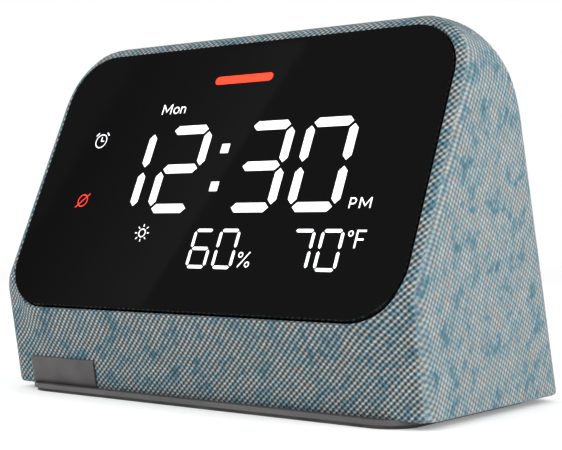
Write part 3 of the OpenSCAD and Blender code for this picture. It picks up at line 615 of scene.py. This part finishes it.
class Shader:
    """Short calls that add nodes to one new material."""

    def __init__(self, name):
        self.material = bpy.data.materials.new(name)
        self.material.use_nodes = True
        self.tree = self.material.node_tree
        self.surface = self.tree.nodes["Principled BSDF"]

    def node(self, kind, inputs=(), **settings):
        """New node with its settings and its inputs, which are values or sockets."""
        node = self.tree.nodes.new("ShaderNode" + kind)
        for key, value in settings.items():
            setattr(node, key, value)
        for key, value in dict(inputs).items():
            self.put(node.inputs[key], value)
        return node

    def put(self, socket, value):
        """Links a socket to another or gives it a value."""
        if isinstance(value, bpy.types.NodeSocket):
            self.tree.links.new(value, socket)
        else:
            socket.default_value = value

    def math(self, operation, a, b=0.0, c=0.0):
        return self.node("Math", {0: a, 1: b, 2: c}, operation=operation).outputs[0]

    def range(self, value, low, high, to_low=0.0, to_high=1.0):
        """Value carried smoothly from one range to another."""
        inputs = {"Value": value, "From Min": low, "From Max": high, "To Min": to_low, "To Max": to_high}
        return self.node("MapRange", inputs, interpolation_type="SMOOTHSTEP").outputs["Result"]

    def mix(self, factor, a, b):
        """Colour a where the factor is 0, and b where it is 1."""
        node = self.node("Mix", data_type="RGBA")
        for index, value in ((0, factor), (6, a), (7, b)):
            self.put(node.inputs[index], value)
        return node.outputs[2]

    def mix_value(self, factor, a, b):
        """Number a where the factor is 0, and b where it is 1."""
        node = self.node("Mix", data_type="FLOAT")
        for index, value in ((0, factor), (2, a), (3, b)):
            self.put(node.inputs[index], value)
        return node.outputs[0]

    def mix_scale(self, colour, factor):
        """Colour times a number."""
        return self.node("VectorMath", {0: colour, "Scale": factor}, operation="SCALE").outputs[0]

    def noise(self, coordinates, scale, detail=2.0, roughness=0.5):
        inputs = {"Vector": coordinates, "Scale": scale, "Detail": detail, "Roughness": roughness}
        return self.node("TexNoise", inputs).outputs["Fac"]

    def scaled(self, coordinates, factors):
        """Coordinates times a number for each axis."""
        return self.node("VectorMath", {0: coordinates, 1: factors}, operation="MULTIPLY").outputs[0]

    def place(self):
        """The object's own coordinates, in metres."""
        return self.node("TexCoord").outputs["Object"]

    def set(self, **values):
        """Inputs of the surface, with _ for each space in their names."""
        for key, value in values.items():
            self.put(self.surface.inputs[key.replace("_", " ")], value)

    def bump(self, height, distance, strength=1.0):
        """Relief of a height in millimetres, from a pattern of 0 to 1."""
        inputs = {"Height": height, "Distance": distance * MM, "Strength": strength}
        self.set(Normal=self.node("Bump", inputs).outputs["Normal"])

    def output(self, closure):
        """Makes a closure the material's surface."""
        self.tree.links.new(closure, self.tree.nodes["Material Output"].inputs["Surface"])


# ---- Fabric material ----

YARN_GREY = (0.42, 0.44, 0.44, 1)
YARN_BEIGE = (0.44, 0.395, 0.345, 1)
YARN_SKY = (0.29, 0.38, 0.41, 1)
YARN_TEAL = (0.085, 0.215, 0.285, 1)
YARN_DEEP = (0.035, 0.11, 0.165, 1)
CROSSING_BLUE = (0.19, 0.31, 0.355, 1)
# Colour of the painted shade in the knit's gaps
GAP_SHADE_COLOUR = (0.010, 0.024, 0.034, 1)
# A stitch's stroke, as shares of the stitch: half its length and width, and its lean
STROKE_LONG, STROKE_WIDE, STROKE_LEAN = 0.56, 0.34, -0.18
WAVER = 0.4
# Painted shade: the tone between the strokes, and how dark the gaps are, where that shade is faint and
# where it is strong
GROOVE_SHADE_FAINT, GROOVE_SHADE_STRONG = 0.66, 0.36
GAP_SHADE_FAINT, GAP_SHADE_STRONG = 0.42, 0.92
KNIT_RELIEF = 0.2


def knit_layer(s, coordinates, seed):
    """One set of stitches: the yarn's colour, the raised strokes, and the gaps between them."""
    parts = s.node("SeparateXYZ", {0: coordinates})
    waver = s.noise(s.scaled(coordinates, (0.16, 0.16, 1.0)), 1.0, 1.0)
    shift = s.math("MULTIPLY", s.math("SUBTRACT", waver, 0.5), WAVER)
    p = s.math("ADD", parts.outputs[0], shift)
    q = s.math("SUBTRACT", parts.outputs[1], s.math("MULTIPLY", shift, 0.6))
    cell = s.node("CombineXYZ", {0: s.math("FLOOR", p), 1: s.math("FLOOR", q), 2: seed}).outputs[0]
    random = s.node("TexWhiteNoise", {"Vector": cell}, noise_dimensions="3D")
    tone = s.node("SeparateXYZ", {0: random.outputs["Color"]})
    fp = s.math("SUBTRACT", s.math("FRACT", p), 0.5)
    fq = s.math("SUBTRACT", s.math("FRACT", q), 0.5)
    # The raised stroke of a stitch lies along p and leans a little
    lean = s.math("MULTIPLY_ADD", fp, STROKE_LEAN, fq)
    long = s.math("POWER", s.math("ABSOLUTE", s.math("DIVIDE", fp, STROKE_LONG)), 2.0)
    wide = s.math("POWER", s.math("ABSOLUTE", s.math("DIVIDE", lean, STROKE_WIDE)), 2.0)
    stroke = s.range(s.math("SQRT", s.math("ADD", long, wide)), 1.15, 0.3)
    # Gaps lie where four stitches meet
    gap_p = s.math("SUBTRACT", 0.5, s.math("ABSOLUTE", fp))
    gap_q = s.math("SUBTRACT", 0.5, s.math("ABSOLUTE", fq))
    squares = s.math("ADD", s.math("MULTIPLY", gap_p, gap_p), s.math("MULTIPLY", gap_q, gap_q))
    gap = s.range(s.math("SQRT", squares), 0.40, 0.12)
    # Melange: patches drawn out along the strokes and broken up stitch by stitch
    patch = s.noise(s.scaled(coordinates, (0.16, 0.25, 1.0)), 1.0, 2.0, 0.6)
    speck = s.noise(s.scaled(coordinates, (0.6, 0.9, 1.0)), 1.0, 1.0)
    blue = s.math("MULTIPLY_ADD", patch, 0.9, s.math("MULTIPLY", speck, 0.5))
    blue = s.math("MULTIPLY_ADD", random.outputs["Value"], 0.16, blue)
    yarn = s.mix(s.range(tone.outputs[1], 0.3, 0.9), YARN_GREY, YARN_BEIGE)
    yarn = s.mix(s.range(blue, 0.68, 0.84), yarn, YARN_SKY)
    yarn = s.mix(s.range(blue, 0.80, 0.98), yarn, YARN_TEAL)
    yarn = s.mix(s.range(blue, 0.94, 1.12), yarn, YARN_DEEP)
    light = s.math("MULTIPLY_ADD", tone.outputs[0], 0.3, 0.85)
    return s.mix_scale(yarn, light), stroke, gap


def fabric_material():
    """Melange knit, with painted shade between its strokes and in its gaps, and with its relief,
    strongest where the surface faces neither sideways nor back.
    """
    s = Shader("knit_fabric")
    first = s.node("Attribute", attribute_name="knit_first").outputs["Vector"]
    second = s.node("Attribute", attribute_name="knit_second").outputs["Vector"]
    share = s.node("Attribute", attribute_name="knit_share").outputs["Fac"]
    relief_and_shade = s.node("Attribute", attribute_name="knit_shade_and_relief").outputs["Fac"]
    yarn_a, stroke_a, gap_a = knit_layer(s, first, 1.0)
    yarn_b, stroke_b, gap_b = knit_layer(s, second, 2.0)
    yarn = s.mix(share, yarn_a, yarn_b)
    stroke = s.mix_value(share, stroke_a, stroke_b)
    gap = s.mix_value(share, gap_a, gap_b)
    # Painted shade: darker between the strokes and darker still in the gaps, most where the surface
    # faces neither sideways nor back
    low = s.mix_value(relief_and_shade, GROOVE_SHADE_FAINT, GROOVE_SHADE_STRONG)
    tone = s.math("MULTIPLY_ADD", stroke, s.math("SUBTRACT", 1.0, low), low)
    depth = s.mix_value(relief_and_shade, GAP_SHADE_FAINT, GAP_SHADE_STRONG)
    # The yarn that crosses under the strokes is bluer
    crossing = s.mix(s.math("MULTIPLY_ADD", stroke, 0.5, 0.5), CROSSING_BLUE, yarn)
    colour = s.mix(s.math("MULTIPLY", gap, depth), s.mix_scale(crossing, tone), GAP_SHADE_COLOUR)
    s.set(Base_Color=colour, Roughness=0.88, Specular_IOR_Level=0.15)
    s.set(Sheen_Weight=0.12, Sheen_Roughness=0.5)
    height = s.math("SUBTRACT", stroke, s.math("MULTIPLY", gap, 0.8))
    s.bump(height, KNIT_RELIEF, s.mix_value(relief_and_shade, 0.5, 1.0))
    return s.material


# ---- Materials of the other pieces ----


def plastic(name, rgb, roughness=0.5, grain=0.02, coarse=90.0, specular=0.5, mottle=0.06):
    """Moulded plastic: fine spark texture, faint mottling, and roughness that varies with it."""
    s = Shader(name)
    fine = s.noise(s.place(), 5200.0, 2.0)
    wide = s.noise(s.place(), coarse, 3.0)
    dark, light = shaded(linear(rgb), 1 - 2.5 * mottle), shaded(linear(rgb), 1 + 2.5 * mottle)
    s.set(Base_Color=s.mix(s.range(wide, 0.3, 0.7), dark, light), Specular_IOR_Level=specular)
    s.set(Roughness=s.range(wide, 0.2, 0.8, roughness - 0.07, roughness + 0.07))
    s.bump(fine, grain)
    return s.material


def rubber(name, rgb, roughness=0.8):
    """Coarser grain and a weaker gloss than plastic."""
    return plastic(name, rgb, roughness, 0.04, 140.0, 0.3, 0.1)


def metal(name, rgb, roughness=0.3, stretch=(1.0, 1.0, 14.0)):
    """Plated or brushed metal: fine scratches drawn out one way."""
    s = Shader(name)
    streaks = s.noise(s.scaled(s.place(), stretch), 1600.0, 3.0)
    s.set(Base_Color=s.mix(streaks, shaded(linear(rgb), 0.8), linear(rgb)), Metallic=1.0)
    s.set(Roughness=s.range(streaks, 0.25, 0.75, roughness - 0.08, roughness + 0.12))
    s.bump(streaks, 0.004)
    return s.material


def board_material():
    """Solder mask over copper tracks: lighter traces in a maze of straight runs."""
    s = Shader("board_laminate")
    where = s.scaled(s.place(), (1 / MM, 1 / MM, 1 / MM))
    runs = s.node("TexVoronoi", {"Vector": where, "Scale": 0.55}, distance="CHEBYCHEV", feature="F1")
    rings = s.math("FRACT", s.math("MULTIPLY", runs.outputs["Distance"], 3.0))
    trace = s.math("LESS_THAN", s.math("ABSOLUTE", s.math("SUBTRACT", rings, 0.5)), 0.16)
    s.set(Base_Color=s.mix(trace, linear((16, 66, 40)), linear((30, 98, 60))))
    s.set(Roughness=s.mix_value(trace, 0.38, 0.28))
    s.bump(trace, 0.03)
    return s.material


def glass_material():
    """Black cover glass: clear polish with the faintest smudges and dust."""
    s = Shader("black_glass")
    smudge = s.noise(s.scaled(s.place(), (1.0, 1.0, 0.6)), 28.0, 4.0, 0.6)
    s.set(Base_Color=s.mix(smudge, linear((13, 13, 14)), linear((16, 16, 17))))
    s.set(Roughness=s.range(smudge, 0.35, 0.75, 0.035, 0.075), Specular_IOR_Level=0.42)
    return s.material


def lit_material(name, rgb, strength):
    """Light seen through a diffuser: even, a touch brighter in the middle of the speckle."""
    s = Shader(name)
    speckle = s.noise(s.place(), 2400.0, 1.0)
    colour = s.mix(speckle, shaded(linear(rgb), 0.94), linear(rgb))
    s.set(Base_Color=colour, Emission_Color=colour, Emission_Strength=strength, Roughness=0.25)
    return s.material


def tag_material():
    """Soft dark tape with a fine woven rib."""
    s = Shader("tag_plastic")
    parts = s.node("SeparateXYZ", {0: s.place()})
    rib = s.math("SINE", s.math("MULTIPLY", parts.outputs[0], 2 * math.pi / (0.42 * MM)))
    row = s.math("SINE", s.math("MULTIPLY", parts.outputs[2], 2 * math.pi / (0.36 * MM)))
    weave = s.math("MULTIPLY", rib, row)
    wide = s.noise(s.place(), 160.0, 2.0)
    tone = s.math("MULTIPLY_ADD", weave, 0.14, wide)
    s.set(Base_Color=s.mix(s.range(tone, 0.2, 0.8), linear((78, 76, 76)), linear((96, 94, 94))))
    s.set(Roughness=s.range(wide, 0.3, 0.7, 0.55, 0.68), Specular_IOR_Level=0.35)
    s.bump(weave, 0.035)
    return s.material


def foam_material():
    """Closed-cell foam."""
    s = Shader("gasket_foam")
    cells = s.node("TexVoronoi", {"Vector": s.place(), "Scale": 2600.0}).outputs["Distance"]
    s.set(Base_Color=s.mix(cells, linear((20, 20, 20)), linear((46, 46, 46))), Roughness=0.95)
    s.bump(cells, 0.1)
    return s.material


def paper_material():
    """Pressed pulp: short fibres every way."""
    s = Shader("cone_paper")
    fibres = s.noise(s.scaled(s.place(), (3.0, 1.0, 1.0)), 900.0, 6.0, 0.8)
    s.set(Base_Color=s.mix(fibres, linear((24, 24, 26)), linear((62, 62, 64))), Roughness=0.92)
    s.bump(fibres, 0.06)
    return s.material


def coil_material():
    """Enamelled copper, wound turn over turn."""
    s = Shader("coil_copper")
    parts = s.node("SeparateXYZ", {0: s.place()})
    c, w = map(float, direction(SPEAKER_TILT))
    axis = s.math("MULTIPLY_ADD", parts.outputs[2], w, s.math("MULTIPLY", parts.outputs[1], c))
    turns = s.math("SINE", s.math("MULTIPLY", axis, 2 * math.pi / (0.24 * MM)))
    s.set(Base_Color=s.mix(s.range(turns, -0.6, 0.8), linear((120, 58, 26)), linear((214, 128, 72))))
    s.set(Metallic=0.9, Roughness=0.34)
    s.bump(turns, 0.06)
    return s.material


# Settings of each moulded, rubbery and metal slot, in the order of its maker's arguments
PLASTICS = {
    "shell_plastic": ((70, 70, 72), 0.45),
    "base_plastic": ((84, 82, 82), 0.55, 0.03),
    "frame_plastic": ((22, 22, 23), 0.5),
    "diffuser": ((216, 216, 216), 0.6, 0.01),
    "reflector_plastic": ((226, 226, 224), 0.5),
    "led_body": ((232, 226, 170), 0.3, 0.0, 400.0),
    "jack_plastic": ((26, 26, 27), 0.42),
    "tongue_plastic": ((228, 228, 226), 0.45),
    "knob_plastic": ((222, 78, 44), 0.42),
    "basket_plastic": ((40, 40, 41), 0.5),
    "chip_epoxy": ((34, 34, 36), 0.6, 0.03),
    "cable_film": ((214, 206, 184), 0.4, 0.01),
}
RUBBERS = {
    "foot_rubber": ((72, 71, 71), 0.8),
    "button_rubber": ((92, 108, 116), 0.7),
    "surround_rubber": ((24, 24, 25), 0.55),
    "magnet_ferrite": ((48, 48, 51), 0.6),
    "wire_sheath": ((150, 30, 26), 0.5),
}
METALS = {
    "screw_steel": ((196, 196, 194), 0.35),
    "switch_metal": ((200, 200, 196), 0.3),
    "mic_metal": ((214, 182, 110), 0.25),
    "plated_contact": ((206, 206, 204), 0.18, (1.0, 8.0, 1.0)),
    "yoke_steel": ((170, 170, 166), 0.38),
    "shield_tin": ((205, 205, 202), 0.24, (10.0, 1.0, 1.0)),
    "antenna_film": ((206, 150, 84), 0.32),
}
LIT = {
    "lit_white": ((250, 252, 255), 0.95),
    "lit_red": ((255, 62, 38), 0.85),
}


def make_materials():
    """One material for each slot of the record."""
    made = {
        "knit_fabric": fabric_material(),
        "tag_plastic": tag_material(),
        "black_glass": glass_material(),
        "board_laminate": board_material(),
        "gasket_foam": foam_material(),
        "cone_paper": paper_material(),
        "coil_copper": coil_material(),
    }
    tables = ((PLASTICS, plastic), (RUBBERS, rubber), (METALS, metal), (LIT, lit_material))
    for table, maker in tables:
        for name, settings in table.items():
            made[name] = maker(name, *settings)
    return made


# ---- Marks on the buttons ----


def dense(outline, step=0.25):
    """Outline with extra points along its sides, so that it can follow a curved surface."""
    points = []
    for a, b in zip(outline, np.roll(outline, -1, axis=0)):
        count = max(1, math.ceil(np.linalg.norm(b - a) / step))
        points += [a + (b - a) * k / count for k in range(count)]
    return np.array(points)


def bar(x0, y0, x1, y1, t):
    """Outline of a straight stroke of thickness t."""
    a, b = np.array([x0, y0]), np.array([x1, y1])
    side = np.array([a[1] - b[1], b[0] - a[0]]) / np.linalg.norm(b - a) * t / 2
    return np.array([a - side, b - side, b + side, a + side])


def minus_mark():
    """One level stroke."""
    return [bar(-MARK_REACH, 0, MARK_REACH, 0, MARK_T)]


def play_mark():
    """Triangle that points to the right."""
    return [np.array([(-0.75, -1.0), (1.05, 0.0), (-0.75, 1.0)])]


def alarm_mark():
    """Small alarm clock: a dial in short pieces, two hands and two bells."""
    inner, outer = DIAL_R - MARK_T / 3, DIAL_R + MARK_T / 3
    spokes = [direction(360 * k / MARK_STEPS) for k in range(MARK_STEPS + 1)]
    pairs = zip(spokes, spokes[1:])
    shapes = [np.array([inner * a, outer * a, outer * b, inner * b]) for a, b in pairs]
    shapes += [bar(0, 0, 0, 0.55, HAND_T), bar(0, 0, 0.42, 0, HAND_T)]
    shapes += [bar(-1.3, 0.75, -0.72, 1.28, BELL_T), bar(0.72, 1.28, 1.3, 0.75, BELL_T)]
    return shapes


def plus_mark():
    """A level stroke, and an upright one in two pieces that meet it."""
    upright = [(MARK_T / 2, MARK_REACH), (-MARK_REACH, -MARK_T / 2)]
    return minus_mark() + [bar(0, low, 0, high, MARK_T) for low, high in upright]


def button_mark(name, x, body, shapes, material):
    """Generic mark moulded on a ridge button, following the button's round top."""
    top = BROW_R + BUTTON_PROUD
    ridge = on_ridge(x)

    def place(p):
        a, r = p[:, 1] / top, top + p[:, 2]
        return ridge(np.c_[p[:, 0], r * np.sin(a), r * np.cos(a)])

    mark = joined_prisms(name, [prism(dense(shape), place, MARK_LOW, MARK_HIGH) for shape in shapes])
    mark.data.materials.append(material)
    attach(mark, body)


# ---- Build the object ----


def bevel(node, width, segments=3):
    """Rounds the sharp edges of a CAD node."""
    modifier = frame["nodes"][node].modifiers.new("round_edges", "BEVEL")
    modifier.width = width * MM
    modifier.segments = segments
    modifier.limit_method = "ANGLE"
    modifier.angle_limit = math.radians(35)


def shrink_lit(node):
    """Draws a lit shape a little thinner than its window in the glass."""
    obj = frame["nodes"][node]
    weld = obj.modifiers.new("weld", "WELD")
    weld.merge_threshold = 0.001 * MM
    shrink = obj.modifiers.new("shrink", "DISPLACE")
    shrink.mid_level = 0.0
    shrink.strength = -LIT_SHRINK * MM


materials = make_materials()
for part in frame["record"]["subparts"]:
    node_mesh = frame["nodes"][part["node"]].data
    node_mesh.materials.clear()
    node_mesh.materials.append(materials[part["material_slot"]])
    if part["material_slot"] in LIT:
        shrink_lit(part["node"])

cover = cover_shell()
cut(cover, cover_openings())
shade_smooth(cover.data)
knit_first, knit_second, knit_share, knit_shade_and_relief = knit_coordinates(vertex_array(cover.data) / MM)
add_attribute(cover.data, "knit_first", knit_first)
add_attribute(cover.data, "knit_second", knit_second)
add_attribute(cover.data, "knit_share", knit_share)
# How strong the knit's painted shade and relief are at each point
add_attribute(cover.data, "knit_shade_and_relief", knit_shade_and_relief)
cover.data.materials.clear()
cover.data.materials.append(materials["knit_fabric"])
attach(cover, "case")
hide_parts("fabric_sleeve")

BUTTONS = (
    ("minus_mark", "volume_down", minus_mark()),
    ("play_mark", "play", play_mark()),
    ("alarm_mark", "alarm", alarm_mark()),
    ("plus_mark", "volume_up", plus_mark()),
)
for x, (name, body, shapes) in zip(BUTTON_X, BUTTONS):
    button_mark(name, x, body, shapes, materials["diffuser"])
    bevel(body + "_button", BUTTON_BEVEL)

bevel("display_lens", 0.22)
bevel("label_tag", 0.12, 2)
bevel("base_plate", 0.25)
bevel("rubber_foot", 0.2)
bevel("port_panel", 0.2)
bevel("mute_knob", 0.15, 2)

# ---- Stage, light and camera ----


def floor_material():
    """Pale floor that fades into the white round it far from the object."""
    s = Shader("floor_pale")
    where = s.place()
    distance = s.node("VectorMath", {0: where}, operation="LENGTH").outputs["Value"]
    grain = s.noise(where, 40.0, 3.0)
    s.set(Base_Color=s.mix(grain, (0.86, 0.86, 0.86, 1), (0.88, 0.88, 0.88, 1)))
    s.set(Roughness=0.9, Specular_IOR_Level=0.1)
    s.set(Emission_Color=(1, 1, 1, 1), Emission_Strength=0.22)
    clear = s.node("BsdfTransparent")
    mixed = s.node("MixShader", {0: s.range(distance, *FLOOR_FADE)})
    s.tree.links.new(s.surface.outputs[0], mixed.inputs[1])
    s.tree.links.new(clear.outputs[0], mixed.inputs[2])
    s.output(mixed.outputs[0])
    return s.material


def make_floor():
    """Flat floor at table height."""
    corners = [(x * FLOOR_HALF, y * FLOOR_HALF, 0) for x, y in ((-1, -1), (1, -1), (1, 1), (-1, 1))]
    floor = mesh_object("floor", corners, [(0, 1, 2, 3)])
    floor.data.materials.append(floor_material())


def make_world():
    """White surroundings, dim where a glossy surface mirrors them."""
    world = bpy.data.worlds.new("studio")
    scene.world = world
    world.use_nodes = True
    tree = world.node_tree
    background = tree.nodes["Background"]
    path = tree.nodes.new("ShaderNodeLightPath")
    camera_mix = tree.nodes.new("ShaderNodeMapRange")
    glossy = tree.nodes.new("ShaderNodeMath")
    glossy.operation = "MULTIPLY_ADD"
    glossy.inputs[1].default_value = GLOSSY_LIGHT - WORLD_LIGHT
    glossy.inputs[2].default_value = WORLD_LIGHT
    tree.links.new(path.outputs["Is Glossy Ray"], glossy.inputs[0])
    camera_mix.inputs["To Max"].default_value = 1.0
    tree.links.new(path.outputs["Is Camera Ray"], camera_mix.inputs["Value"])
    tree.links.new(glossy.outputs[0], camera_mix.inputs["To Min"])
    tree.links.new(camera_mix.outputs[0], background.inputs["Strength"])
    background.inputs["Color"].default_value = (1, 1, 1, 1)


def area_light(name, place, size, power):
    """Soft light towards the object's middle, which doesn't show in mirrors."""
    data = bpy.data.lights.new(name, "AREA")
    data.shape = "RECTANGLE"
    data.size, data.size_y = size[0] * MM, size[1] * MM
    data.energy = power
    light = bpy.data.objects.new(name, data)
    scene.collection.objects.link(light)
    light.location = Vector(place) * MM
    light.rotation_mode = "QUATERNION"
    light.rotation_quaternion = (Vector(LIGHT_TARGET) - Vector(place)).to_track_quat("-Z", "Y")
    light.visible_glossy = False


def glass_card():
    """Dim card that shows only as a faint band with one straight edge in the glass."""
    mirror = CAMERA_AT - 2 * ((CAMERA_AT - FRONT_ORIGIN) @ OUT_AXIS) * OUT_AXIS
    # The band's corners on the glass, first those of its sharp edge
    across, up = (15.8, -10.6, -62.0, -36.0), (66.7, 0.5, 0.5, 66.7)
    spots = front_point(across, up, [GLASS_PROUD] * 4)
    corners = spots + (spots - mirror) * CARD_DISTANCE
    card = mesh_object("glass_card", corners, [(0, 1, 2, 3)])
    add_attribute(card.data, "fade", (1.0, 1.0, 0.0, 0.0))
    s = Shader("card_light")
    level = s.node("Attribute", attribute_name="fade").outputs["Fac"]
    glow = s.node("Emission", {"Color": (1, 1, 1, 1)})
    s.put(glow.inputs["Strength"], s.math("MULTIPLY", s.math("POWER", level, 1.6), CARD_LIGHT))
    s.output(glow.outputs[0])
    card.data.materials.append(s.material)
    card.visible_camera = False
    card.visible_diffuse = False
    card.visible_shadow = False
    card.visible_transmission = False


def make_camera():
    """Level camera."""
    data = bpy.data.cameras.new("camera")
    data.sensor_width = CAMERA_SENSOR
    data.lens = CAMERA_LENS
    data.clip_start = 0.01
    data.clip_end = 10.0
    camera = bpy.data.objects.new("camera", data)
    scene.collection.objects.link(camera)
    camera.location = Vector(CAMERA_AT) * MM
    camera.rotation_euler = (math.radians(90), 0, math.radians(CAMERA_AZIMUTH))
    scene.camera = camera


make_floor()
make_world()
glass_card()
area_light("key_right", (620, 60, 420), (420, 420), 2.6)
area_light("fill_front", (-160, -620, 420), (500, 400), 3.0)
make_camera()
scene.view_settings.view_transform = "Standard"
scene.view_settings.look = "None"

bpy.context.view_layer.update()
